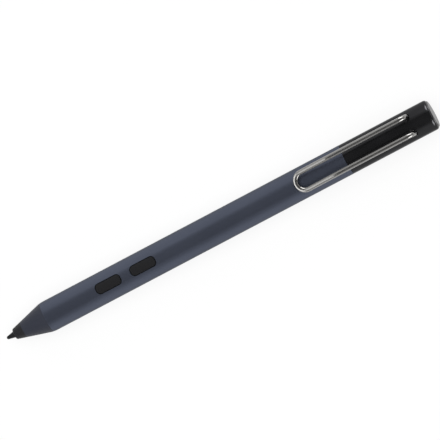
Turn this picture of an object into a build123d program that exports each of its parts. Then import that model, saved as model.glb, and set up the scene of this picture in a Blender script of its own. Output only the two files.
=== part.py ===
from build123d import *
import math
import os

# Stylus pen with a slim replaceable cell, two side buttons, a screw-off tail and a wire clip.
# The pen lies along X with its tip at x = 0, and Z points to the side of the buttons and the clip.
# Driving dimensions, in millimetres.

# Clearances
fit = 0.02  # between two pieces that are pushed together and stay
slip = 0.06  # between a moving piece and what guides it
seam = 0.08  # visible joint line between barrel and tail
margin = 0.2  # room left at the end of a piece
edge_break = 0.1  # rounding of the tubes' outer edges, so that none is sharp to the hand

# Replaceable cell, which sets the bore
cell_r = 4.05
cell_can_len = 41.4
cell_edge = 0.3
cell_nub_r = 1.6
cell_nub_len = 0.7
cell_cap_r = 2.2
cell_cap_depth = 0.6
cell_seal_r = 3.0
cell_room = 0.2

# Barrel
barrel_wall = 0.55

# Nib
nib_exposed = 2.65
nib_r = 1.0
nib_tip_r = 0.53
nib_travel = 0.35
nib_shank_r = 0.6
nib_shank_len = 5.5
nib_step_back = 0.5

# Nose
collar_len = 3.12
collar_face = 0.6
collar_round = 0.45
collar_stem_len = 3.4
cone_len = 8.0
shoulder_round = 8.0  # how softly the cone runs into the barrel
nose_wall = 0.7
spigot_wall = 0.8
spigot_grip = 1.2

# Tip mechanism
electrode_wall = 0.5
guide_inset = 0.57  # how far in front of the shoulder the guide is seated
guide_len = 3.0
holder_wall = 0.5
holder_flange_r = 2.0
holder_flange_t = 0.6
holder_rod_r = 0.8
holder_rod_reach = 1.4
tip_spring_len = 3.65
tip_spring_r = 1.5
tip_spring_wire_r = 0.15
tip_spring_turns = 4

# Pressure sensor
sensor_wall = 0.6
sensor_room = 0.15
sensor_pad_r = 1.8
sensor_pad_t = 0.8
sensor_board_t = 0.6
sensor_cap_t = 0.4

# Inner frame
frame_wall = 0.8
frame_front_t = 0.8
frame_back_t = 1.6
lead_hole_r = 1.2

# Main board, with places along it counted from its front edge or from the upper button
board_t = 0.8
board_edge_room = 0.4
board_lower_button = 9.8
button_pitch = 11.8
board_behind_button = 16.9
front_screw_in = 2.2
back_screw_in = 3.6

# Board screws
screw_r = 0.5
screw_head_r = 0.95
screw_head_t = 0.5
screw_len = 1.6
screw_slot = 0.22
boss_r = 1.1

# Components on the main board
controller_len = 4.0
controller_t = 0.9
driver_len = 2.5
driver_t = 0.8
driver_before_button = 4.4
crystal_len = 2.0
crystal_wide = 1.6
crystal_t = 0.6
crystal_behind_button = 3.6
inductor_len = 3.0
inductor_t = 1.3
inductor_behind_button = 7.2
capacitor_len = 1.0
capacitor_wide = 0.5
capacitor_step = 1.6
capacitor_rows = 3
capacitor_y = 2.4

# Side buttons and their switches
slot_len = 8.5
slot_wide = 3.3
slot_corner = 1.35
button_gap = 0.2
button_proud = 0.2
button_edge = 0.15
button_travel = 0.25
button_flange = 0.6
button_flange_t = 0.6
button_foot_r = 0.9
switch_len = 3.0
switch_wide = 2.6
switch_t = 1.3
switch_floor = 0.4
plunger_r = 0.6
plunger_proud = 0.4

# Cell contacts
contact_t = 0.3
contact_r = 2.6
contact_dome_r = 1.0
contact_dome = 0.2
contact_strip_wide = 1.6
contact_strip_len = 1.5
cell_spring_len = 4.0
cell_spring_r = 1.7
cell_spring_wire_r = 0.22
cell_spring_turns = 3.5

# Tail coupler with its thread and seal
coupler_nose_gap = 1.0
coupler_grip = 6.4
coupler_seat = 4.7
coupler_wall = 0.79
coupler_back_wall = 1.23
coupler_land = 0.6
seal_groove_depth = 0.59
seal_side_room = 0.06
thread_pitch = 1.0
thread_start = 2.1
thread_len = 3.2
thread_depth = 0.35
thread_crest = 0.3
thread_root = 0.55
thread_room = 0.1
thread_lead_in = 0.5
cup_floor = 1.0
cup_rim = 1.4
cup_rim_wall = 0.5

# Tail
tail_wall = 0.95
tail_rim_wall = 0.47
tail_rim_land = 0.07  # flat left between the rounded back edge and the end button
tail_rim_long = 0.9  # length of the rounded back edge along the tube
coin_r = 2.9
coin_t = 2.7
coin_count = 2
coin_edge = 0.25
sleeve_wall = 0.6
tail_frame_front_t = 0.6
tail_frame_wall = 0.75
tail_frame_plate_t = 1.5
tail_rim_z = -0.3
tail_board_len = 8.7
tail_board_t = 0.6
tail_board_edge_room = 0.3
radio_len = 3.0
radio_t = 0.9
radio_in = 3.0
antenna_len = 1.6
antenna_wide = 5.0
antenna_t = 1.0
antenna_in = 1.2

# Tail button and its switch
tail_travel = 0.4
tail_cap_t = 1.6
tail_cap_proud = 0.5
tail_cap_round = 0.35
tail_cap_room = 0.45
tail_stem_r = 2.2
tail_stem_wall = 0.7
tail_snap = 0.35
tail_snap_t = 0.6
tail_slit = 0.5
tail_post_r = 0.8
tail_switch_wide = 3.0
tail_switch_t = 0.9
tail_plunger_r = 0.7
tail_plunger_proud = 0.48

# Wire clip
clip_wire_r = 0.75
clip_half_wide = 2.8
clip_reach = 38.25
clip_gap = 0.3
clip_bend_r = 2.4
clip_dip_angle = 6.0
clip_dip_reach = 12.5
clip_dip_r = 20.0
clip_stub_z = 1.1
clip_hole_room = 0.2
anchor_len = 2.6
anchor_top_z = 2.4
anchor_keel = 2.0

# Radii that follow from the cell and the walls
bore_r = cell_r + cell_room
barrel_r = bore_r + barrel_wall
nib_hole_r = nib_r + slip
collar_r = nib_hole_r + collar_face
spigot_r = bore_r - fit
pocket_r = spigot_r - spigot_wall
frame_r = bore_r - fit
frame_in_r = frame_r - frame_wall
holder_r = nib_shank_r + fit + holder_wall
tail_bore_r = barrel_r - tail_wall
tail_inner_r = tail_bore_r - fit
tail_frame_in_r = tail_inner_r - tail_frame_wall
coupler_land_r = bore_r - slip
coupler_core_r = coupler_land_r - thread_room
coupler_bore_r = coupler_core_r - coupler_wall
coupler_back_bore_r = tail_inner_r - coupler_back_wall
seal_groove_r = coupler_land_r - seal_groove_depth
cap_hole_r = barrel_r - tail_rim_wall
tail_cap_r = cap_hole_r - slip

# Stations along the pen, each from the one before: nose and tip mechanism
collar_x = nib_exposed
cone_x = collar_x + collar_len
shoulder_x = cone_x + cone_len
stem_x = cone_x + collar_stem_len
guide_x = shoulder_x - guide_inset
flange_x = guide_x + guide_len + slip
tip_spring_x = flange_x + holder_flange_t
sensor_x = tip_spring_x + tip_spring_len
spigot_x = sensor_x + spigot_grip
rod_x = sensor_x + sensor_wall + holder_rod_reach
pad_x = rod_x + nib_travel + sensor_room
sensor_board_x = pad_x + sensor_pad_t
sensor_cap_x = sensor_board_x + sensor_board_t
sensor_end = sensor_cap_x + sensor_cap_t

# Stations: inner frame, board and cell
frame_front_x = sensor_end + frame_front_t
board_x = frame_front_x + margin
lower_x = board_x + board_lower_button
upper_x = lower_x + button_pitch
board_end = upper_x + board_behind_button
frame_back_x = board_end + margin
contact_x = frame_back_x + frame_back_t
nub_x = contact_x + contact_t + contact_dome
can_x = nub_x + cell_nub_len
can_end = can_x + cell_can_len

# Stations: coupler and joint
coupler_x = can_end + coupler_nose_gap
joint_x = coupler_x + coupler_grip
tube_x = joint_x + seam
coupler_end = tube_x + coupler_seat
cell_spring_end = can_end + cell_spring_len
cup_end = cell_spring_end + cup_floor
thread_x = coupler_x + thread_start

# Stations: tail
coin_x = coupler_end + sleeve_wall
coin_end = coin_x + coin_count * coin_t
tail_frame_x = coin_end + contact_t
tail_board_x = tail_frame_x + tail_frame_front_t + margin
tail_board_end = tail_board_x + tail_board_len
anchor_x = tail_board_end + margin
anchor_end = anchor_x + anchor_len
root_x = anchor_x + anchor_len / 2
tail_switch_end = anchor_end + tail_switch_t
stem_end = tail_switch_end + tail_plunger_proud + fit
plate_x = stem_end + tail_snap_t + slip
plate_end = plate_x + tail_frame_plate_t
cap_x = plate_end + tail_travel + tail_cap_room
pen_len = cap_x + tail_cap_t
tube_end = pen_len - tail_cap_proud

# Heights over the pen's axis
board_top = board_t
switch_top = board_top + switch_t
plunger_top = switch_top + plunger_proud
tail_board_top = tail_rim_z + tail_board_t
clip_end_z = barrel_r + clip_gap + clip_wire_r

# Clip: its legs run level and dip towards the barrel at the loop
clip_dip = math.radians(clip_dip_angle)
clip_end_x = root_x - clip_reach
level_x = clip_end_x + clip_dip_reach
dip_x = level_x - clip_dip_r * math.sin(clip_dip)
dip_z = clip_end_z + (dip_x - clip_end_x) * math.tan(clip_dip)
clip_z = dip_z + clip_dip_r * (1 - math.cos(clip_dip))

# Shoulder: one arc from the cone's slope to the barrel, parted where cone and barrel meet
cone_slope = (barrel_r - collar_r) / (shoulder_x - collar_x)
cone_lean = math.atan(cone_slope)
round_x = shoulder_x + shoulder_round * math.tan(cone_lean / 2)
parting_lean = math.asin((round_x - shoulder_x) / shoulder_round)


def cone_r(x):
    return collar_r + cone_slope * (x - collar_x)


def shoulder_at(lean):
    # Where the shoulder's surface leans to the pen's axis by this angle
    return (round_x - shoulder_round * math.sin(lean), barrel_r - shoulder_round * (1 - math.cos(lean)))


def shoulder_arc(lean0, lean1):
    return ThreePointArc(shoulder_at(lean0), shoulder_at((lean0 + lean1) / 2), shoulder_at(lean1))


def rod(x0, x1, radius):
    low = (Align.CENTER, Align.CENTER, Align.MIN)
    return Pos(x0, 0, 0) * Rot(0, 90, 0) * Cylinder(radius, x1 - x0, align=low)


def ring(x0, x1, outer_r, inner_r):
    return rod(x0, x1, outer_r) - rod(x0, x1, inner_r)


def block(x0, x1, y0, y1, z0, z1):
    return Pos((x0 + x1) / 2, (y0 + y1) / 2, (z0 + z1) / 2) * Box(x1 - x0, y1 - y0, z1 - z0)


def post(x, y, z0, z1, radius):
    low = (Align.CENTER, Align.CENTER, Align.MIN)
    return Pos(x, y, z0) * Cylinder(radius, z1 - z0, align=low)


def chip(x, y, z0, length, width, height):
    return block(x - length / 2, x + length / 2, y - width / 2, y + width / 2, z0, z0 + height)


def spun(lines, rounds=()):
    # A piece turned about the pen's axis from the lines round half its section, some corners rounded
    face = make_face(lines)
    for corner, radius in rounds:
        vertex = face.vertices().sort_by_distance((*corner, 0))[0]
        face = fillet(vertex, radius)
    return revolve(face, Axis.X)


def turned(outline, rounds=()):
    # The same from (x, radius) corners
    return spun(Polyline(*outline, close=True), rounds)


def group(solids):
    return Compound([part.solid() for part in solids])


def coil(x0, x1, mean_r, wire_r, turns):
    # A wire spring between two flat seats
    rise = x1 - x0 - 2 * wire_r
    path = Helix(pitch=rise / turns, height=rise, radius=mean_r)
    section = Plane(origin=path @ 0, z_dir=path % 0) * Circle(wire_r)
    wound = sweep(section, path=path, is_frenet=True)
    return Pos(x0 + wire_r, 0, 0) * Rot(0, 90, 0) * wound


def coil_gap(x0, x1, mean_r, wire_r, turns, steps_per_turn=24):
    # Least free gap between neighbouring turns, measured on points of the wire's middle line
    steps = int(turns * steps_per_turn)
    rise = x1 - x0 - 2 * wire_r
    points = []
    for step in range(steps + 1):
        angle = 2 * math.pi * step / steps_per_turn
        height = rise * step / steps
        points.append(Vector(mean_r * math.cos(angle), mean_r * math.sin(angle), height))
    half_turn = steps_per_turn // 2
    gaps = [
        (points[a] - points[b]).length
        for a in range(len(points))
        for b in range(a + half_turn, len(points))
    ]
    return min(gaps) - 2 * wire_r


def helical_rib(x0, length, inner_r, outer_r, root, crest, turned_by):
    # One thread rib about the pen's axis, right-handed, its start turned by an angle
    path = Helix(pitch=thread_pitch, height=length, radius=(inner_r + outer_r) / 2)
    corners = (
        (inner_r, -root / 2),
        (outer_r, -crest / 2),
        (outer_r, crest / 2),
        (inner_r, root / 2),
    )
    profile = Plane.XZ * make_face(Polyline(*corners, close=True))
    rib = sweep(profile, path=path, is_frenet=True)
    return Pos(x0, 0, 0) * Rot(turned_by, 0, 0) * Rot(0, 90, 0) * rib


def slot_prism(x, length, width, corner, z0, z1):
    return Pos(x, 0, z0) * extrude(RectangleRounded(length, width, corner), z1 - z0)


# Nose and tip


def nib():
    step_x = stem_x - nib_step_back
    cone_start = (nib_tip_r, nib_tip_r)
    tip_middle = (nib_tip_r * (1 - math.sqrt(0.5)), nib_tip_r * math.sqrt(0.5))
    shank_end = step_x + nib_shank_len
    outline = [
        ThreePointArc((0, 0), tip_middle, cone_start),
        Line(cone_start, (nib_exposed, nib_r)),
        Polyline(
            (nib_exposed, nib_r),
            (step_x, nib_r),
            (step_x, nib_shank_r),
            (shank_end, nib_shank_r),
            (shank_end, 0),
            (0, 0),
        ),
    ]
    return spun(outline)


def nose_collar():
    stem_r = cone_r(cone_x) - nose_wall
    outline = (
        (collar_x, nib_hole_r),
        (collar_x, collar_r),
        (cone_x, cone_r(cone_x)),
        (cone_x, stem_r),
        (stem_x, stem_r),
        (stem_x, nib_hole_r),
    )
    return turned(outline, rounds=[((collar_x, collar_r), collar_round)])


def nose_cone():
    stem_hole_r = cone_r(cone_x) - nose_wall + fit
    electrode_hole_r = cone_r(stem_x) - nose_wall
    outline = [
        Polyline((cone_x, stem_hole_r), (cone_x, cone_r(cone_x)), shoulder_at(cone_lean)),
        shoulder_arc(cone_lean, parting_lean),
        Polyline(
            shoulder_at(parting_lean),
            (shoulder_x, spigot_r),
            (spigot_x, spigot_r),
            (spigot_x, pocket_r),
            (guide_x, pocket_r),
            (guide_x, electrode_hole_r),
            (stem_x, electrode_hole_r),
            (stem_x, stem_hole_r),
            (cone_x, stem_hole_r),
        ),
    ]
    return spun(outline)


def tilt_electrode():
    outer_r = cone_r(stem_x) - nose_wall - fit
    return ring(stem_x, guide_x, outer_r, outer_r - electrode_wall)


def tip_guide():
    return ring(guide_x, guide_x + guide_len, pocket_r - fit, holder_r + slip)


def nib_holder():
    front_x = stem_x + nib_step_back
    socket_end = stem_x - nib_step_back + nib_shank_len + margin
    socket_r = nib_shank_r + fit
    outline = (
        (front_x, socket_r),
        (front_x, holder_r),
        (flange_x, holder_r),
        (flange_x, holder_flange_r),
        (tip_spring_x, holder_flange_r),
        (tip_spring_x, holder_rod_r),
        (rod_x, holder_rod_r),
        (rod_x, 0),
        (socket_end, 0),
        (socket_end, socket_r),
    )
    return turned(outline)


def tip_spring():
    return coil(tip_spring_x, sensor_x, tip_spring_r, tip_spring_wire_r, tip_spring_turns)


def sensor_housing():
    outer_r = pocket_r - fit
    cavity_r = outer_r - sensor_wall
    outline = (
        (sensor_x, holder_rod_r + slip),
        (sensor_x, outer_r),
        (sensor_end, outer_r),
        (sensor_end, cavity_r),
        (sensor_x + sensor_wall, cavity_r),
        (sensor_x + sensor_wall, holder_rod_r + slip),
    )
    return turned(outline)


def sensor_disc(x0, x1):
    return rod(x0, x1, pocket_r - fit - sensor_wall - fit)


def sensor_pad():
    return rod(pad_x, sensor_board_x, sensor_pad_r)


# Barrel, inner frame and board


def barrel():
    groove_inner_r = bore_r - 2 * thread_room
    groove_outer_r = coupler_core_r + thread_depth + thread_room
    groove_x = thread_x - thread_lead_in * thread_pitch
    groove_end = joint_x + thread_pitch
    bore = rod(shoulder_x - margin, groove_end + thread_pitch, bore_r) + helical_rib(
        groove_x,
        groove_end - groove_x,
        groove_inner_r,
        groove_outer_r,
        thread_root + 2 * thread_room,
        thread_crest + 2 * thread_room,
        -360 * thread_lead_in,
    )
    outline = [
        Line((shoulder_x, 0), shoulder_at(parting_lean)),
        shoulder_arc(parting_lean, 0),
        Polyline(shoulder_at(0), (joint_x, barrel_r), (joint_x, 0), (shoulder_x, 0)),
    ]
    tube = spun(outline, rounds=[((joint_x, barrel_r), edge_break)])
    for x in (lower_x, upper_x):
        tube -= slot_prism(x, slot_len, slot_wide, slot_corner, 0, barrel_r + margin)
    slot_edges = [edge for edge in tube.edges() if on_cylinder(edge, barrel_r) and in_slot(edge)]
    return fillet(slot_edges, edge_break) - bore


def chassis():
    trough = ring(frame_front_x, frame_back_x, frame_r, frame_in_r)
    trough &= block(frame_front_x, frame_back_x, -barrel_r, barrel_r, -barrel_r, 0)
    front = turned(
        (
            (spigot_x, pocket_r),
            (spigot_x, frame_r),
            (frame_front_x, frame_r),
            (frame_front_x, lead_hole_r),
            (sensor_end, lead_hole_r),
            (sensor_end, pocket_r),
        )
    )
    strip_half = contact_strip_wide / 2 + margin
    back = rod(frame_back_x, contact_x, frame_r)
    strip_top = board_top + contact_t + margin
    back -= block(frame_back_x, contact_x, -strip_half, strip_half, board_top - margin, strip_top)
    frame = front + trough + back
    boss_foot = -frame_r + frame_wall / 2
    for x in screw_places():
        frame += post(x, 0, boss_foot, 0, boss_r)
    for x in screw_places():
        frame -= post(x, 0, -screw_len - margin, margin, screw_r + fit)
    return frame


def screw_places():
    return (board_x + front_screw_in, board_end - back_screw_in)


def main_board():
    half = math.sqrt((bore_r - board_edge_room) ** 2 - board_t**2)
    board = block(board_x, board_end, -half, half, 0, board_top)
    for x in screw_places():
        board -= post(x, 0, -margin, board_top + margin, screw_r + slip)
    return board


def board_screws():
    screws = []
    for x in screw_places():
        head_top = board_top + screw_head_t
        screw = post(x, 0, board_top, head_top, screw_head_r)
        screw += post(x, 0, -screw_len, board_top, screw_r)
        slot_floor = head_top - screw_head_t / 2
        screw -= chip(x, 0, slot_floor, 3 * screw_head_r, screw_slot, screw_head_t)
        screws.append(screw)
    return group(screws)


def board_capacitors():
    first_x = upper_x + inductor_behind_button + inductor_len / 2 - capacitor_step
    places = [
        (first_x + row * capacitor_step, side * capacitor_y)
        for row in range(capacitor_rows)
        for side in (-1, 1)
    ]
    return group(chip(x, y, board_top, capacitor_wide, capacitor_len, capacitor_wide) for x, y in places)


def switch_base(x):
    base = chip(x, 0, board_top, switch_len, switch_wide, switch_t)
    return base - post(x, 0, board_top + switch_floor, switch_top + margin, plunger_r + slip)


def switch_plunger(x):
    return post(x, 0, board_top + switch_floor + button_travel + slip, plunger_top, plunger_r)


def side_button(x):
    length = slot_len - 2 * button_gap
    width = slot_wide - 2 * button_gap
    corner = slot_corner - button_gap
    flange_r = bore_r - slip
    flange_in_r = flange_r - button_flange_t
    half_len = slot_len / 2 + button_flange
    half_wide = slot_wide / 2 + button_flange
    crown_r = barrel_r + button_proud
    cap = slot_prism(x, length, width, corner, 0, crown_r + margin)
    cap &= rod(x - slot_len, x + slot_len, crown_r)
    cap -= rod(x - slot_len, x + slot_len, flange_in_r)
    crown_edges = [edge for edge in cap.edges() if on_cylinder(edge, crown_r)]
    cap = fillet(crown_edges, button_edge)
    flange = ring(x - half_len, x + half_len, flange_r, flange_in_r)
    flange &= block(x - half_len, x + half_len, -half_wide, half_wide, 0, barrel_r)
    foot = post(x, 0, plunger_top + fit, flange_r - button_flange_t / 2, button_foot_r)
    return cap + flange + foot


def on_cylinder(edge, radius):
    # Whether an edge lies on a cylinder about the pen's axis
    near = 0.001
    points = [edge @ share for share in (0, 0.5, 1)]
    return all(abs(math.hypot(p.Y, p.Z) - radius) < near for p in points)


def in_slot(edge):
    # Whether an edge lies within the length of a button's slot
    middle_x = (edge @ 0.5).X
    return any(abs(middle_x - x) <= slot_len / 2 + margin for x in (lower_x, upper_x))


# Cell and its contacts


def contact_plate(x0, x1, strip_x0, strip_z):
    half = contact_strip_wide / 2
    plate = rod(x0, x1, contact_r)
    return plate + block(strip_x0, x1, -half, half, strip_z, strip_z + contact_t)


def cell_contact():
    plate = contact_plate(contact_x, contact_x + contact_t, board_end - contact_strip_len, board_top)
    return plate + rod(contact_x, nub_x, contact_dome_r)


def cell_can():
    outline = (
        (can_x, cell_seal_r),
        (can_x, cell_r),
        (can_end, cell_r),
        (can_end, 0),
        (can_x + cell_cap_depth, 0),
        (can_x + cell_cap_depth, cell_seal_r),
    )
    return turned(outline, rounds=[((can_x, cell_r), cell_edge), ((can_end, cell_r), cell_edge)])


def cell_seal():
    return ring(can_x, can_x + cell_cap_depth, cell_seal_r - fit, cell_cap_r + fit)


def cell_cap():
    return rod(can_x, can_x + cell_cap_depth, cell_cap_r) + rod(nub_x, can_x, cell_nub_r)


def cell_spring():
    return coil(can_end + fit, cell_spring_end, cell_spring_r, cell_spring_wire_r, cell_spring_turns)


# Tail


def seal_section_r():
    return (seal_groove_depth - fit) / 2


def seal_x():
    return coupler_x + coupler_land + seal_section_r() + seal_side_room


def tail_seal():
    middle_r = seal_groove_r + fit + seal_section_r()
    return revolve(Pos(seal_x(), middle_r) * Circle(seal_section_r()), Axis.X)


def tail_coupler():
    groove_x = coupler_x + coupler_land
    groove_end = groove_x + 2 * seal_section_r() + 2 * seal_side_room
    land_end = groove_end + coupler_land / 2
    outline = (
        (coupler_x, coupler_bore_r),
        (coupler_x, coupler_land_r),
        (groove_x, coupler_land_r),
        (groove_x, seal_groove_r),
        (groove_end, seal_groove_r),
        (groove_end, coupler_land_r),
        (land_end, coupler_land_r),
        (land_end, coupler_core_r),
        (tube_x, coupler_core_r),
        (tube_x, tail_inner_r),
        (coupler_end, tail_inner_r),
        (coupler_end, coupler_back_bore_r),
        (cup_end, coupler_back_bore_r),
        (cup_end, coupler_bore_r),
    )
    rib = helical_rib(
        thread_x,
        thread_len,
        coupler_core_r - thread_room,
        coupler_core_r + thread_depth,
        thread_root,
        thread_crest,
        0,
    )
    return turned(outline) + rib


def spring_cup():
    cup_r = coupler_bore_r - fit
    rim_x = cell_spring_end - cup_rim
    return rod(cell_spring_end, cup_end, cup_r) + ring(rim_x, cell_spring_end, cup_r, cup_r - cup_rim_wall)


def tail_tube():
    rim_x = tube_end - tail_rim_long
    rim_r = cap_hole_r + tail_rim_land
    outline = [
        Polyline(
            (rim_x, barrel_r),
            (tube_x, barrel_r),
            (tube_x, tail_bore_r),
            (plate_end, tail_bore_r),
            (plate_end, cap_hole_r),
            (tube_end, cap_hole_r),
            (tube_end, rim_r),
        ),
        EllipticalCenterArc((rim_x, rim_r), tail_rim_long, barrel_r - rim_r, arc_size=90),
    ]
    tube = spun(outline, rounds=[((tube_x, barrel_r), edge_break)])
    return tube - clip_holes(bend_lead())


def bend_lead():
    # How far the underside of the root bend stands in front of the upright wire at the tube's surface
    inner_r = clip_bend_r - clip_wire_r
    surface_z = math.sqrt(barrel_r**2 - (clip_half_wide - clip_wire_r) ** 2)
    rise = max(surface_z - (clip_z - clip_bend_r), 0)
    return inner_r - math.sqrt(inner_r**2 - rise**2)


def clip_holes(lead=0):
    # Two upright holes for the clip, each drawn out to the front by a lead
    hole_r = clip_wire_r + clip_hole_room
    floor = clip_stub_z - clip_hole_room
    holes = []
    for y in (-clip_half_wide, clip_half_wide):
        hole = post(root_x, y, floor, clip_z, hole_r)
        if lead > 0:
            hole += post(root_x - lead, y, floor, clip_z, hole_r)
            hole += block(root_x - lead, root_x, y - hole_r, y + hole_r, floor, clip_z)
        holes.append(hole)
    return holes


def coin_sleeve():
    inner_r = coin_r + slip
    outline = (
        (coupler_end, coupler_back_bore_r),
        (coupler_end, tail_inner_r),
        (tail_frame_x, tail_inner_r),
        (tail_frame_x, inner_r),
        (coin_x, inner_r),
        (coin_x, coupler_back_bore_r),
    )
    return turned(outline)


def coin_cells():
    cells = []
    for place in range(coin_count):
        x0 = coin_x + place * coin_t
        x1 = x0 + coin_t - fit
        outline = ((x0, 0), (x0, coin_r), (x1, coin_r), (x1, 0))
        cells.append(turned(outline, rounds=[((x0, coin_r), coin_edge), ((x1, coin_r), coin_edge)]))
    return group(cells)


def coin_contact():
    strip_end = tail_board_x + contact_strip_len
    half = contact_strip_wide / 2
    plate = rod(coin_end, tail_frame_x, contact_r)
    return plate + block(coin_end, strip_end, -half, half, tail_board_top, tail_board_top + contact_t)


def tail_frame():
    front_end = tail_frame_x + tail_frame_front_t
    strip_half = contact_strip_wide / 2 + margin
    front = rod(tail_frame_x, front_end, tail_inner_r)
    strip_top = tail_board_top + contact_t + margin
    front -= block(tail_frame_x, front_end, -strip_half, strip_half, tail_board_top - margin, strip_top)
    trough = ring(front_end, plate_x, tail_inner_r, tail_frame_in_r)
    trough &= block(front_end, plate_x, -barrel_r, barrel_r, -barrel_r, tail_rim_z)
    plate = ring(plate_x, plate_end, tail_inner_r, tail_stem_r + slip)
    return front + trough + plate


def tail_board():
    half = math.sqrt((tail_bore_r - tail_board_edge_room) ** 2 - tail_rim_z**2)
    return block(tail_board_x, tail_board_end, -half, half, tail_rim_z, tail_board_top)


def clip_anchor():
    anchor = rod(anchor_x, anchor_end, tail_inner_r)
    anchor &= block(anchor_x, anchor_end, -barrel_r, barrel_r, tail_rim_z, anchor_top_z)
    anchor += block(anchor_x, anchor_end, -anchor_keel, anchor_keel, -anchor_keel, tail_rim_z)
    return anchor - clip_holes()


def tail_switch_base():
    half = tail_switch_wide / 2
    base = block(anchor_end, tail_switch_end, -half, half, -half, half)
    return base - rod(anchor_end + slip, tail_switch_end, tail_plunger_r + slip)


def tail_switch_plunger():
    return rod(anchor_end + 2 * slip + tail_travel, stem_end - fit, tail_plunger_r)


def tail_button():
    snap_r = tail_stem_r + tail_snap
    inner_r = tail_stem_r - tail_stem_wall
    cap = turned(
        ((cap_x, 0), (cap_x, tail_cap_r), (pen_len, tail_cap_r), (pen_len, 0)),
        rounds=[((pen_len, tail_cap_r), tail_cap_round)],
    )
    stem = ring(stem_end, cap_x, tail_stem_r, inner_r)
    stem += ring(stem_end, stem_end + tail_snap_t, snap_r, inner_r)
    half = tail_slit / 2
    stem -= block(stem_end, plate_end, -snap_r, snap_r, -half, half)
    stem -= block(stem_end, plate_end, -half, half, -snap_r, snap_r)
    return cap + stem + rod(stem_end, cap_x, tail_post_r)


# Clip


def clip_wire():
    near, far = -clip_half_wide, clip_half_wide
    loop_x = clip_end_x + clip_half_wide * math.cos(clip_dip)
    loop_z = clip_end_z + clip_half_wide * math.sin(clip_dip)
    loop = ThreePointArc((loop_x, near, loop_z), (clip_end_x, 0, clip_end_z), (loop_x, far, loop_z))
    path = Wire([*clip_leg(near, loop_x, loop_z), loop, *clip_leg(far, loop_x, loop_z)])
    section = Pos(root_x, near, clip_stub_z) * Circle(clip_wire_r)
    return sweep(section, path=path)


def clip_leg(y, loop_x, loop_z):
    # From the stub in its hole, over the root bend and down the dip to the loop
    leg_end = root_x - clip_bend_r
    bend_z = clip_z - clip_bend_r
    slant = clip_bend_r * math.sqrt(0.5)
    return [
        Line((root_x, y, clip_stub_z), (root_x, y, bend_z)),
        ThreePointArc((root_x, y, bend_z), (leg_end + slant, y, bend_z + slant), (leg_end, y, clip_z)),
        Line((leg_end, y, clip_z), (level_x, y, clip_z)),
        TangentArc((level_x, y, clip_z), (dip_x, y, dip_z), tangent=(-1, 0, 0)),
        Line((dip_x, y, dip_z), (loop_x, y, loop_z)),
    ]


board_part_x = (lower_x + upper_x) / 2
pieces = {
    "nib": nib(),
    "nib_holder": nib_holder(),
    "tip_spring": tip_spring(),
    "nose_collar": nose_collar(),
    "nose_cone": nose_cone(),
    "tilt_electrode": tilt_electrode(),
    "tip_guide": tip_guide(),
    "sensor_housing": sensor_housing(),
    "sensor_pad": sensor_pad(),
    "sensor_board": sensor_disc(sensor_board_x, sensor_cap_x),
    "sensor_cap": sensor_disc(sensor_cap_x, sensor_end),
    "barrel": barrel(),
    "chassis": chassis(),
    "main_board": main_board(),
    "board_screws": board_screws(),
    "controller_chip": chip(board_part_x, 0, board_top, controller_len, controller_len, controller_t),
    "tip_driver_chip": chip(lower_x - driver_before_button, 0, board_top, driver_len, driver_len, driver_t),
    "crystal": chip(upper_x + crystal_behind_button, 0, board_top, crystal_len, crystal_wide, crystal_t),
    "boost_inductor": chip(
        upper_x + inductor_behind_button, 0, board_top, inductor_len, inductor_len, inductor_t
    ),
    "board_capacitors": board_capacitors(),
    "lower_switch_base": switch_base(lower_x),
    "lower_switch_plunger": switch_plunger(lower_x),
    "lower_button": side_button(lower_x),
    "upper_switch_base": switch_base(upper_x),
    "upper_switch_plunger": switch_plunger(upper_x),
    "upper_button": side_button(upper_x),
    "cell_contact": cell_contact(),
    "cell_can": cell_can(),
    "cell_seal": cell_seal(),
    "cell_cap": cell_cap(),
    "cell_spring": cell_spring(),
    "spring_cup": spring_cup(),
    "tail_seal": tail_seal(),
    "tail_coupler": tail_coupler(),
    "tail_tube": tail_tube(),
    "coin_sleeve": coin_sleeve(),
    "coin_cells": coin_cells(),
    "coin_contact": coin_contact(),
    "tail_frame": tail_frame(),
    "tail_board": tail_board(),
    "radio_chip": chip(tail_board_x + radio_in, 0, tail_board_top, radio_len, radio_len, radio_t),
    "antenna": chip(
        tail_board_end - antenna_in, 0, tail_board_top, antenna_len, antenna_wide, antenna_t
    ),
    "clip_anchor": clip_anchor(),
    "tail_switch_base": tail_switch_base(),
    "tail_switch_plunger": tail_switch_plunger(),
    "tail_button": tail_button(),
    "clip_wire": clip_wire(),
}

# The part's own frame: lying on a table, clip up, with the middle of its length over the origin
lay_down = Pos(-pen_len / 2, 0, barrel_r)
os.makedirs("parts", exist_ok=True)
for name, piece in pieces.items():
    export_step(lay_down * piece, f"parts/{name}.step")

tip_gap = coil_gap(tip_spring_x, sensor_x, tip_spring_r, tip_spring_wire_r, tip_spring_turns)
cell_gap = coil_gap(can_end + fit, cell_spring_end, cell_spring_r, cell_spring_wire_r, cell_spring_turns)
print(f"length {pen_len:.2f}, diameter {2 * barrel_r:.2f}, joint at {joint_x:.2f}, clip root at {root_x:.2f}")
print(f"buttons at {lower_x:.2f} and {upper_x:.2f}, clip end at {clip_end_x - clip_wire_r:.2f}")
print(f"least gap between turns: tip spring {tip_gap:.2f}, cell spring {cell_gap:.2f}")
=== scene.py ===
import math
import bpy
from mathutils import Matrix, Vector


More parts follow.
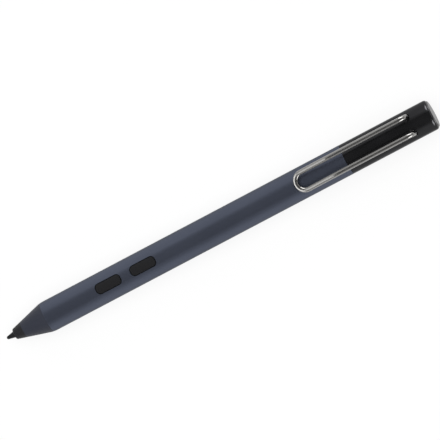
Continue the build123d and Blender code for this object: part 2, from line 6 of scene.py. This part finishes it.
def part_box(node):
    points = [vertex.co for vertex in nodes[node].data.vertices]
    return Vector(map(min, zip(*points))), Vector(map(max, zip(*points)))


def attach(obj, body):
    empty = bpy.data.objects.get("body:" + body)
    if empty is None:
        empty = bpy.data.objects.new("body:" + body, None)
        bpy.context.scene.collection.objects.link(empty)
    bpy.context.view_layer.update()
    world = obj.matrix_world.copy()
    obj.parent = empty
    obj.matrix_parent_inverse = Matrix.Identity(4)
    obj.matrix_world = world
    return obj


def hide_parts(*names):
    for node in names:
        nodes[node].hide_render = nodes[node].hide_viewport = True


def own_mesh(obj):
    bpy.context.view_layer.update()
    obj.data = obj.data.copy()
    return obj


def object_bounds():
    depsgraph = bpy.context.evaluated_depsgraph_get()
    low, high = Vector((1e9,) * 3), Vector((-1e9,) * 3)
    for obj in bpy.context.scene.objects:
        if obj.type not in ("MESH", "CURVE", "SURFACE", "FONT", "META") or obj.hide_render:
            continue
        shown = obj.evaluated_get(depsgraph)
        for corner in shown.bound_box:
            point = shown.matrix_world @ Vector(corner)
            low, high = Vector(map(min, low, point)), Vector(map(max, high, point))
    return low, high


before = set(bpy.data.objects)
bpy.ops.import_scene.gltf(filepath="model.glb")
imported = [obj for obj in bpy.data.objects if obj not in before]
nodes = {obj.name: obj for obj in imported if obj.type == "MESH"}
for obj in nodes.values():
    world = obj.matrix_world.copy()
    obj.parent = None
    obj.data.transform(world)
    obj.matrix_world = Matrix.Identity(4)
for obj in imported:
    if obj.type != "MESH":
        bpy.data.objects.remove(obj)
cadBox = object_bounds()
mm = 0.001


# Small helpers for the finishes. Every pattern is laid out in the piece's own metres.
evenGrain = (1, 1, 1)
noiseRange = (0.3, 0.7)     # where most values of a noise lie
fullRange = (0, 1)


def newFinish(name):
    finish = bpy.data.materials.new(name)
    finish.use_nodes = True
    tree = finish.node_tree
    tree.nodes.clear()
    shader = tree.nodes.new("ShaderNodeBsdfPrincipled")
    shown = tree.nodes.new("ShaderNodeOutputMaterial")
    tree.links.new(shader.outputs["BSDF"], shown.inputs["Surface"])
    return finish, tree, shader


def setShader(shader, roughness=0.5, metallic=0.0, ior=1.45, edgeTint=(1, 1, 1)):
    shader.inputs["Roughness"].default_value = roughness
    shader.inputs["Metallic"].default_value = metallic
    shader.inputs["IOR"].default_value = ior
    shader.inputs["Specular Tint"].default_value = (*edgeTint, 1)


def surfacePlace(tree, stretch=evenGrain, shift=(0, 0, 0)):
    place = tree.nodes.new("ShaderNodeTexCoord")
    mapping = tree.nodes.new("ShaderNodeMapping")
    mapping.inputs["Location"].default_value = shift
    mapping.inputs["Scale"].default_value = stretch
    tree.links.new(place.outputs["Object"], mapping.inputs["Vector"])
    return mapping.outputs["Vector"]


def grain(tree, size, along=evenGrain, detail=2.0):
    noise = tree.nodes.new("ShaderNodeTexNoise")
    noise.inputs["Scale"].default_value = 1 / size
    noise.inputs["Detail"].default_value = detail
    tree.links.new(surfacePlace(tree, [1 / a for a in along]), noise.inputs["Vector"])
    return noise.outputs["Fac"]


# Lines left by turning: round a piece, or in rings on its end face
marksLook = dict(waver=0.6, waverScale=2.0, phasePerUnit=20)    # the last is the wave node's own factor


def turningMarks(tree, pitch, onEndFace=False):
    wave = tree.nodes.new("ShaderNodeTexWave")
    if onEndFace:
        wave.wave_type = "RINGS"
        wave.rings_direction = "X"
    else:
        wave.wave_type = "BANDS"
        wave.bands_direction = "X"
    wave.inputs["Scale"].default_value = 2 * math.pi / (marksLook["phasePerUnit"] * pitch)
    wave.inputs["Distortion"].default_value = marksLook["waver"]
    wave.inputs["Detail Scale"].default_value = marksLook["waverScale"]
    tree.links.new(surfacePlace(tree), wave.inputs["Vector"])
    return wave.outputs["Fac"]


def spread(tree, value, low, high, within=noiseRange, soft=False):
    ranged = tree.nodes.new("ShaderNodeMapRange")
    ranged.interpolation_type = "SMOOTHSTEP" if soft else "LINEAR"
    ranged.inputs["From Min"].default_value = within[0]
    ranged.inputs["From Max"].default_value = within[1]
    ranged.inputs["To Min"].default_value = low
    ranged.inputs["To Max"].default_value = high
    tree.links.new(value, ranged.inputs["Value"])
    return ranged.outputs["Result"]


def tint(tree, value, dark, light, within):
    ramp = tree.nodes.new("ShaderNodeValToRGB")
    for element, position, colour in zip(ramp.color_ramp.elements, within, (dark, light)):
        element.position = position
        element.color = (*colour, 1)
    tree.links.new(value, ramp.inputs["Fac"])
    return ramp.outputs["Color"]


def shade(colour, share):
    return tuple(c * share for c in colour)


def colourBy(tree, shader, value, look, within=noiseRange):
    dark, light = [shade(look["colour"], share) for share in look["shades"]]
    tree.links.new(tint(tree, value, dark, light, within), shader.inputs["Base Color"])


def roughBy(tree, shader, value, look, within=noiseRange):
    tree.links.new(spread(tree, value, *look["roughness"], within), shader.inputs["Roughness"])


def relief(tree, shader, height, depth, strength=0.5):
    bump = tree.nodes.new("ShaderNodeBump")
    bump.inputs["Strength"].default_value = strength
    bump.inputs["Distance"].default_value = depth
    tree.links.new(height, bump.inputs["Height"])
    tree.links.new(bump.outputs["Normal"], shader.inputs["Normal"])


def dress(finish, *names):
    for name in names:
        mesh = nodes[name].data
        mesh.materials.clear()
        mesh.materials.append(finish)


# Barrel: fine satin metal in dark slate blue
barrelLook = dict(
    colour=(0.0905, 0.1025, 0.140),
    shades=(0.95, 1.05),            # how far the colour wanders either way
    mottleSize=6 * mm,
    mottleStretch=(3, 1, 1),
    mottleDetail=3,
    grainSize=0.12 * mm,
    grainDepth=0.004 * mm,
    metallic=0.8,
    ior=1.4,
    edgeTint=(0.50, 0.50, 0.48),    # the oxide layer greys the rim of the tube and keeps it from flaring
    roughness=(0.35, 0.42),
)


def slateMetal(look):
    finish, tree, shader = newFinish("slateMetal")
    setShader(shader, metallic=look["metallic"], ior=look["ior"], edgeTint=look["edgeTint"])
    wander = grain(tree, look["mottleSize"], look["mottleStretch"], look["mottleDetail"])
    pits = grain(tree, look["grainSize"])
    colourBy(tree, shader, wander, look)
    roughBy(tree, shader, pits, look)
    relief(tree, shader, pits, look["grainDepth"])
    dress(finish, "barrel")


# Black tail: smooth moulded resin with a faint flow in its gloss
tailLook = dict(
    colour=(0.029, 0.029, 0.031),
    shades=(0.85, 1.2),
    metallic=0.85,          # dark flake in the resin: it shines evenly and doesn't flare at the rim
    ior=1.3,
    edgeTint=(0.6, 0.6, 0.6),
    roughness=(0.18, 0.24),
    flowSize=3 * mm,
    flowStretch=(4, 1, 1),
    peelSize=0.9 * mm,
    peelDepth=0.002 * mm,
)


def blackTail(look):
    finish, tree, shader = newFinish("tailResin")
    setShader(shader, metallic=look["metallic"], ior=look["ior"], edgeTint=look["edgeTint"])
    flow = grain(tree, look["flowSize"], look["flowStretch"])
    peel = grain(tree, look["peelSize"])
    colourBy(tree, shader, flow, look)
    roughBy(tree, shader, flow, look)
    relief(tree, shader, peel, look["peelDepth"])
    dress(finish, "tail_tube")


# Moulded matt pieces that show: nose cone in the barrel's colour, nose collar, nib and side buttons.
# What they share, and the moulded pieces inside with them, comes first.
resinLook = dict(ior=1.33, shades=(0.8, 1.25), grainStretch=evenGrain, grainDetail=3)
noseLook = dict(
    colour=(0.029, 0.032, 0.045), roughness=(0.46, 0.56), grainSize=0.12 * mm, grainDepth=0.004 * mm,
)
collarLook = dict(
    colour=(0.0165, 0.0165, 0.0185), roughness=(0.46, 0.56), grainSize=0.10 * mm, grainDepth=0.006 * mm,
)
nibLook = dict(
    colour=(0.011, 0.011, 0.012), roughness=(0.42, 0.55), grainSize=0.08 * mm, grainDepth=0.005 * mm,
    grainStretch=(6, 1, 1),
)
buttonLook = dict(
    colour=(0.010, 0.010, 0.011), roughness=(0.40, 0.48), grainSize=0.10 * mm, grainDepth=0.005 * mm,
)


def mattResin(name, ownLook, *names):
    look = {**resinLook, **ownLook}
    finish, tree, shader = newFinish(name)
    setShader(shader, ior=look["ior"])
    specks = grain(tree, look["grainSize"], look["grainStretch"], look["grainDetail"])
    colourBy(tree, shader, specks, look)
    roughBy(tree, shader, specks, look)
    relief(tree, shader, specks, look["grainDepth"])
    dress(finish, *names)


# End button: satin resin with the faint rings of its turned mould
endButtonLook = dict(
    colour=(0.03, 0.03, 0.033),
    shades=(0.9, 1.1),
    ior=1.48,
    roughness=(0.26, 0.34),
    ringPitch=0.12 * mm,
    ringDepth=0.0015 * mm,
    ringStrength=0.3,
)


def ringedEndButton(look):
    finish, tree, shader = newFinish("endButtonResin")
    setShader(shader, ior=look["ior"])
    rings = turningMarks(tree, look["ringPitch"], onEndFace=True)
    colourBy(tree, shader, rings, look, fullRange)
    roughBy(tree, shader, rings, look, fullRange)
    relief(tree, shader, rings, look["ringDepth"], look["ringStrength"])
    dress(finish, "tail_button")


# Drawn wire: the clip in polished nickel plate, and the springs
metalRelief = 0.4       # how strongly the marks show, on the turned metals too
wireLook = dict(
    colour=(0.29, 0.285, 0.276),
    shades=(0.94, 1.04),
    roughness=(0.13, 0.20),
    drawnSize=0.06 * mm,
    drawnStretch=(60, 1, 1),
    drawnDepth=0.0008 * mm,
)
springLook = dict(
    colour=(0.50, 0.49, 0.46),
    shades=(0.94, 1.04),
    roughness=(0.22, 0.34),
    drawnSize=0.05 * mm,
    drawnStretch=(4, 1, 1),
    drawnDepth=0.001 * mm,
)


def drawnMetal(name, look, *names):
    finish, tree, shader = newFinish(name)
    setShader(shader, metallic=1.0)
    drawn = grain(tree, look["drawnSize"], look["drawnStretch"])
    colourBy(tree, shader, drawn, look)
    roughBy(tree, shader, drawn, look)
    relief(tree, shader, drawn, look["drawnDepth"], metalRelief)
    dress(finish, *names)


# Turned and pressed metals inside, with what they share first
metalLook = dict(shades=(0.9, 1.06), stainSize=2 * mm)
couplerLook = dict(
    colour=(0.50, 0.50, 0.51), roughness=(0.24, 0.36), linePitch=0.14 * mm, lineDepth=0.003 * mm,
)
steelLook = dict(
    colour=(0.46, 0.46, 0.455), roughness=(0.26, 0.40), linePitch=0.10 * mm, lineDepth=0.002 * mm,
)
contactLook = dict(
    colour=(0.72, 0.52, 0.21), roughness=(0.20, 0.30), linePitch=0.30 * mm, lineDepth=0.001 * mm,
)


def turnedMetal(name, ownLook, *names):
    look = {**metalLook, **ownLook}
    finish, tree, shader = newFinish(name)
    setShader(shader, metallic=1.0)
    marks = turningMarks(tree, look["linePitch"])
    stains = grain(tree, look["stainSize"])
    colourBy(tree, shader, stains, look)
    roughBy(tree, shader, marks, look, fullRange)
    relief(tree, shader, marks, look["lineDepth"], metalRelief)
    dress(finish, *names)


# Moulded pieces, rubber and ceramic inside
frameLook = dict(
    colour=(0.043, 0.043, 0.046), roughness=(0.48, 0.62), grainSize=0.25 * mm, grainDepth=0.008 * mm,
)
plungerLook = dict(
    colour=(0.52, 0.52, 0.49), roughness=(0.40, 0.50), grainSize=0.15 * mm, grainDepth=0.003 * mm,
)
rubberLook = dict(
    colour=(0.016, 0.016, 0.016), roughness=(0.62, 0.75), grainSize=0.06 * mm, grainDepth=0.004 * mm,
)
chipLook = dict(
    colour=(0.018, 0.018, 0.018), roughness=(0.52, 0.66), grainSize=0.05 * mm, grainDepth=0.004 * mm,
)
ceramicLook = dict(
    colour=(0.46, 0.36, 0.24), roughness=(0.34, 0.46), grainSize=0.07 * mm, grainDepth=0.002 * mm,
)

# Boards: green mask over fine copper tracks
boardLook = dict(
    mask=(0.006, 0.060, 0.024),
    maskShade=1.15,         # fields between the tracks are up to this much lighter
    track=(0.016, 0.125, 0.052),
    trackUnit=0.9 * mm,     # the next three are measured in it
    trackWide=0.16,
    fieldLong=4.0,
    fieldWide=0.5,
    fieldShift=0.5,         # share of a field that the next row is moved by
    roughness=0.28,
    ior=1.5,
    trackDepth=0.012 * mm,
)


def trackedBoard(look):
    finish, tree, shader = newFinish("boardMask")
    setShader(shader, roughness=look["roughness"], ior=look["ior"])
    tracks = tree.nodes.new("ShaderNodeTexBrick")
    tracks.offset = look["fieldShift"]
    tracks.inputs["Scale"].default_value = 1 / look["trackUnit"]
    tracks.inputs["Mortar Size"].default_value = look["trackWide"] / 2
    tracks.inputs["Brick Width"].default_value = look["fieldLong"]
    tracks.inputs["Row Height"].default_value = look["fieldWide"]
    tracks.inputs["Color1"].default_value = (*look["mask"], 1)
    tracks.inputs["Color2"].default_value = (*shade(look["mask"], look["maskShade"]), 1)
    tracks.inputs["Mortar"].default_value = (*look["track"], 1)
    tree.links.new(surfacePlace(tree), tracks.inputs["Vector"])
    tree.links.new(tracks.outputs["Color"], shader.inputs["Base Color"])
    relief(tree, shader, tracks.outputs["Fac"], look["trackDepth"])
    dress(finish, "main_board", "sensor_board", "tail_board")


# Slim cell: plain foil jacket with one paler band near its positive end
cellLook = dict(
    jacket=(0.085, 0.092, 0.105),
    band=(0.42, 0.43, 0.45),
    bandFrom=3.5 * mm,
    bandWide=5 * mm,
    bandBlur=0.1 * mm,
    metallic=0.8,
    roughness=(0.26, 0.36),
    creaseSize=1.5 * mm,
    creaseStretch=(6, 1, 1),
    creaseDetail=4,
    creaseDepth=0.004 * mm,
    creaseStrength=0.3,
)


def foilJacket(look):
    finish, tree, shader = newFinish("cellFoil")
    setShader(shader, metallic=look["metallic"])
    half = look["bandWide"] / 2
    blur = look["bandBlur"]
    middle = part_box("cell_can")[0].x + look["bandFrom"] + half
    apart = tree.nodes.new("ShaderNodeSeparateXYZ")
    tree.links.new(surfacePlace(tree, shift=(-middle, 0, 0)), apart.inputs["Vector"])
    away = tree.nodes.new("ShaderNodeMath")
    away.operation = "ABSOLUTE"
    tree.links.new(apart.outputs["X"], away.inputs[0])
    inBand = spread(tree, away.outputs["Value"], 1, 0, (half - blur, half + blur))
    foil = tint(tree, inBand, look["jacket"], look["band"], fullRange)
    tree.links.new(foil, shader.inputs["Base Color"])
    creases = grain(tree, look["creaseSize"], look["creaseStretch"], look["creaseDetail"])
    roughBy(tree, shader, creases, look)
    relief(tree, shader, creases, look["creaseDepth"], look["creaseStrength"])
    dress(finish, "cell_can")


def dressPen():
    slateMetal(barrelLook)
    blackTail(tailLook)
    mattResin("noseResin", noseLook, "nose_cone")
    mattResin("collarResin", collarLook, "nose_collar")
    mattResin("nibResin", nibLook, "nib")
    mattResin("buttonResin", buttonLook, "lower_button", "upper_button")
    ringedEndButton(endButtonLook)
    drawnMetal("polishedWire", wireLook, "clip_wire")
    print("outer finishes on")
    turnedMetal("couplerMetal", couplerLook, "tail_coupler")
    turnedMetal("holderSteel", steelLook, "nib_holder", "board_screws", "clip_anchor", "coin_cells")
    turnedMetal("contactPlate", contactLook, "tilt_electrode", "cell_contact", "cell_cap", "coin_contact")
    drawnMetal("springSteel", springLook, "tip_spring", "cell_spring")
    mattResin(
        "frameResin", frameLook, "tip_guide", "sensor_housing", "sensor_cap", "chassis",
        "cell_seal", "spring_cup", "coin_sleeve", "tail_frame"
    )
    mattResin(
        "plungerResin", plungerLook, "lower_switch_plunger", "upper_switch_plunger", "tail_switch_plunger"
    )
    mattResin("sealRubber", rubberLook, "tail_seal", "sensor_pad")
    mattResin(
        "chipEpoxy", chipLook, "controller_chip", "tip_driver_chip", "radio_chip", "boost_inductor",
        "lower_switch_base", "upper_switch_base", "tail_switch_base"
    )
    mattResin("firedCeramic", ceramicLook, "crystal", "board_capacitors", "antenna")
    trackedBoard(boardLook)
    foilJacket(cellLook)
    print("inner finishes on")


dressPen()


# Tip spring: a copy of its coil is attached to the nib's body, so the whole coil moves with the nib, and
# the spring itself is hidden
tipSpringLook = dict(name="tip_spring_coil", body="nib", joint="nib_press", slot="spring_steel")


def shorteningSpring(look):
    coil = bpy.data.objects.new(look["name"], nodes["tip_spring"].data.copy())
    bpy.context.scene.collection.objects.link(coil)
    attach(coil, look["body"])
    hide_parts("tip_spring")
    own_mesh(coil)


shorteningSpring(tipSpringLook)


# Floor: a pale sheet that looks white to the eye and in reflections, and keeps a share of the pen's shadow
floorLook = dict(size=14.0, drop=0.02 * mm, paper=0.92, white=1.0, shadowShare=0.15)


def paleFloor(look):
    half = look["size"] / 2
    mesh = bpy.data.meshes.new("floorSheet")
    corners = [(-half, -half), (half, -half), (half, half), (-half, half)]
    mesh.from_pydata([(x, y, -look["drop"]) for x, y in corners], [], [(0, 1, 2, 3)])
    floor = bpy.data.objects.new("floorSheet", mesh)
    bpy.context.scene.collection.objects.link(floor)
    finish = bpy.data.materials.new("floorPaper")
    finish.use_nodes = True
    tree = finish.node_tree
    tree.nodes.clear()
    paper = tree.nodes.new("ShaderNodeBsdfDiffuse")
    paper.inputs["Color"].default_value = (look["paper"], look["paper"], look["paper"], 1)
    glow = tree.nodes.new("ShaderNodeEmission")
    glow.inputs["Strength"].default_value = look["white"]
    path = tree.nodes.new("ShaderNodeLightPath")
    seen = path.outputs["Is Camera Ray"]
    for other in ("Is Glossy Ray", "Is Transmission Ray"):
        either = tree.nodes.new("ShaderNodeMath")
        either.operation = "MAXIMUM"
        tree.links.new(seen, either.inputs[0])
        tree.links.new(path.outputs[other], either.inputs[1])
        seen = either.outputs["Value"]
    share = tree.nodes.new("ShaderNodeMath")
    share.operation = "MULTIPLY"
    share.inputs[1].default_value = 1 - look["shadowShare"]
    tree.links.new(seen, share.inputs[0])
    mix = tree.nodes.new("ShaderNodeMixShader")
    tree.links.new(share.outputs["Value"], mix.inputs["Fac"])
    tree.links.new(paper.outputs["BSDF"], mix.inputs[1])
    tree.links.new(glow.outputs["Emission"], mix.inputs[2])
    shown = tree.nodes.new("ShaderNodeOutputMaterial")
    tree.links.new(mix.outputs["Shader"], shown.inputs["Surface"])
    mesh.materials.append(finish)


# Studio: white walls on both sides of a dim ceiling that runs along the pen, and one wide lamp overhead
# for the matt light. Places on the walls and ceiling are directions on a unit dome.
studioLook = dict(
    wall=1.14,
    wallLift=0.02,              # how much brighter the wall is on the far side of the pen
    tipDimming=0.30,            # the walls' share of light left past the tip
    wallFade=(-0.8, -0.2),      # where they dim, along the pen
    ceiling=0.23,
    tipCeiling=0.40,            # it grows lighter towards the tip
    ceilingFade=(-0.8, -0.1),   # where it does, along the pen
    ceilingHalf=(0.54, 0.89),   # where it fades into the wall, on either side
    ceilingShift=-0.11,         # it lies a little to the near side
    lampHeight=1.3,
    lampSize=1.8,
    lampWatts=22,
)


def softStudio(look):
    world = bpy.data.worlds.new("studioWalls")
    bpy.context.scene.world = world
    world.use_nodes = True
    tree = world.node_tree
    tree.nodes.clear()
    place = tree.nodes.new("ShaderNodeTexCoord")
    apart = tree.nodes.new("ShaderNodeSeparateXYZ")
    tree.links.new(place.outputs["Generated"], apart.inputs["Vector"])
    fromMiddle = tree.nodes.new("ShaderNodeMath")
    fromMiddle.operation = "SUBTRACT"
    fromMiddle.inputs[1].default_value = look["ceilingShift"]
    tree.links.new(apart.outputs["Y"], fromMiddle.inputs[0])
    aside = tree.nodes.new("ShaderNodeMath")
    aside.operation = "ABSOLUTE"
    tree.links.new(fromMiddle.outputs["Value"], aside.inputs[0])
    pastSide = spread(tree, aside.outputs["Value"], 0, 1, look["ceilingHalf"], soft=True)
    wall, lift = look["wall"], look["wallLift"]
    acrossPen = spread(tree, apart.outputs["Y"], wall - lift, wall + lift, (-1, 1))
    towardsTip = spread(tree, apart.outputs["X"], look["tipDimming"], 1, look["wallFade"], soft=True)
    walls = tree.nodes.new("ShaderNodeMath")
    walls.operation = "MULTIPLY"
    tree.links.new(acrossPen, walls.inputs[0])
    tree.links.new(towardsTip, walls.inputs[1])
    levels = look["tipCeiling"], look["ceiling"]
    ceiling = spread(tree, apart.outputs["X"], *levels, look["ceilingFade"], soft=True)
    level = tree.nodes.new("ShaderNodeMix")
    tree.links.new(ceiling, level.inputs["A"])
    tree.links.new(walls.outputs["Value"], level.inputs["B"])
    tree.links.new(pastSide, level.inputs["Factor"])
    back = tree.nodes.new("ShaderNodeBackground")
    tree.links.new(level.outputs["Result"], back.inputs["Strength"])
    shown = tree.nodes.new("ShaderNodeOutputWorld")
    tree.links.new(back.outputs["Background"], shown.inputs["Surface"])
    panel = bpy.data.lights.new("ceilingLamp", "AREA")
    panel.shape = "SQUARE"
    panel.size = look["lampSize"]
    panel.energy = look["lampWatts"]
    lamp = bpy.data.objects.new("ceilingLamp", panel)
    lamp.location = (0, 0, look["lampHeight"])
    lamp.visible_glossy = False     # it lights the matt share only
    lamp.visible_camera = False
    bpy.context.scene.collection.objects.link(lamp)


# Soft boxes: two make the tail's highlights and five the clip's, and they light nothing else.
# They stand round the clip and face it, turned from the tail's direction and raised by degrees.
boxDistance = 1.3
tailBoxLooks = dict(
    tailNear=dict(turn=-58, rise=17, wide=0.74, high=0.8, watts=18),
    tailFar=dict(turn=58, rise=17, wide=0.74, high=0.8, watts=18),
)
clipBoxLooks = dict(
    loopOuter=dict(turn=180, rise=30, wide=2.6, high=1.0, watts=23),
    loopInner=dict(turn=0, rise=17, wide=1.0, high=0.8, watts=0.9),
    dippedEnd=dict(turn=180, rise=70, wide=1.9, high=0.27, watts=2.3),
    rootFar=dict(turn=64, rise=12, wide=0.9, high=0.5, watts=8.5),
    rootNear=dict(turn=-64, rise=12, wide=0.9, high=0.5, watts=8.5),
)


def softBox(name, look):
    turn = math.radians(look["turn"])
    rise = math.radians(look["rise"])
    facing = Vector((math.cos(turn) * math.cos(rise), math.sin(turn) * math.cos(rise), math.sin(rise)))
    data = bpy.data.lights.new(name, "AREA")
    data.shape = "RECTANGLE"
    data.size = look["wide"]
    data.size_y = look["high"]
    data.energy = look["watts"]
    box = bpy.data.objects.new(name, data)
    low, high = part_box("clip_wire")
    box.location = (low + high) / 2 + boxDistance * facing
    box.rotation_mode = "QUATERNION"
    box.rotation_quaternion = facing.to_track_quat("Z", "Y")
    box.visible_camera = False
    box.visible_diffuse = False     # it makes highlights only
    bpy.context.scene.collection.objects.link(box)
    return box


def lightOnly(name, boxLooks, *pieces):
    lit = bpy.data.collections.new(name)
    for piece in pieces:
        lit.objects.link(nodes[piece])
    for boxName, look in boxLooks.items():
        softBox(boxName, look).light_linking.receiver_collection = lit


# Camera: almost straight down on the buttons, with the tail leaning towards it
cameraLook = dict(
    tailLean=8.0,           # degrees, as the next two are
    buttonLean=2.3,
    axisRise=27.81,
    distance=2.1,
    lens=575,
    sensor=36,
    near=0.1,
    far=50,
    frameSide=440,          # pixels, as the next is
    penMiddle=(219.23, 226.44),
)


def photoCamera(look):
    tailLean = math.radians(look["tailLean"])
    buttonLean = math.radians(look["buttonLean"])
    towards = Vector((math.sin(tailLean), -math.sin(buttonLean), 0))
    towards.z = math.sqrt(1 - towards.length_squared)
    along = Vector((1, 0, 0))
    along = (along - along.dot(towards) * towards).normalized()
    across = towards.cross(along)
    rise = math.radians(look["axisRise"])
    right = math.cos(rise) * along - math.sin(rise) * across
    up = math.sin(rise) * along + math.cos(rise) * across
    pixel = look["sensor"] / look["lens"] * look["distance"] / look["frameSide"]
    offRight = (look["penMiddle"][0] - look["frameSide"] / 2) * pixel
    offDown = (look["penMiddle"][1] - look["frameSide"] / 2) * pixel
    axisHeight = (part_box("barrel")[0].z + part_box("barrel")[1].z) / 2
    middle = Vector(((cadBox[0].x + cadBox[1].x) / 2, 0, axisHeight))
    spot = middle + look["distance"] * towards - offRight * right + offDown * up
    data = bpy.data.cameras.new("photoCamera")
    data.lens = look["lens"]
    data.sensor_width = look["sensor"]
    data.clip_start = look["near"]
    data.clip_end = look["far"]
    camera = bpy.data.objects.new("photoCamera", data)
    facing = Matrix((right, up, towards)).transposed()
    camera.matrix_world = Matrix.Translation(spot) @ facing.to_4x4()
    bpy.context.scene.collection.objects.link(camera)
    bpy.context.scene.camera = camera


paleFloor(floorLook)
softStudio(studioLook)
lightOnly("tailAlone", tailBoxLooks, "tail_tube", "tail_button")
lightOnly("clipAlone", clipBoxLooks, "clip_wire")
photoCamera(cameraLook)
bpy.context.scene.view_settings.view_transform = "Standard"
print("floor, light and camera set")
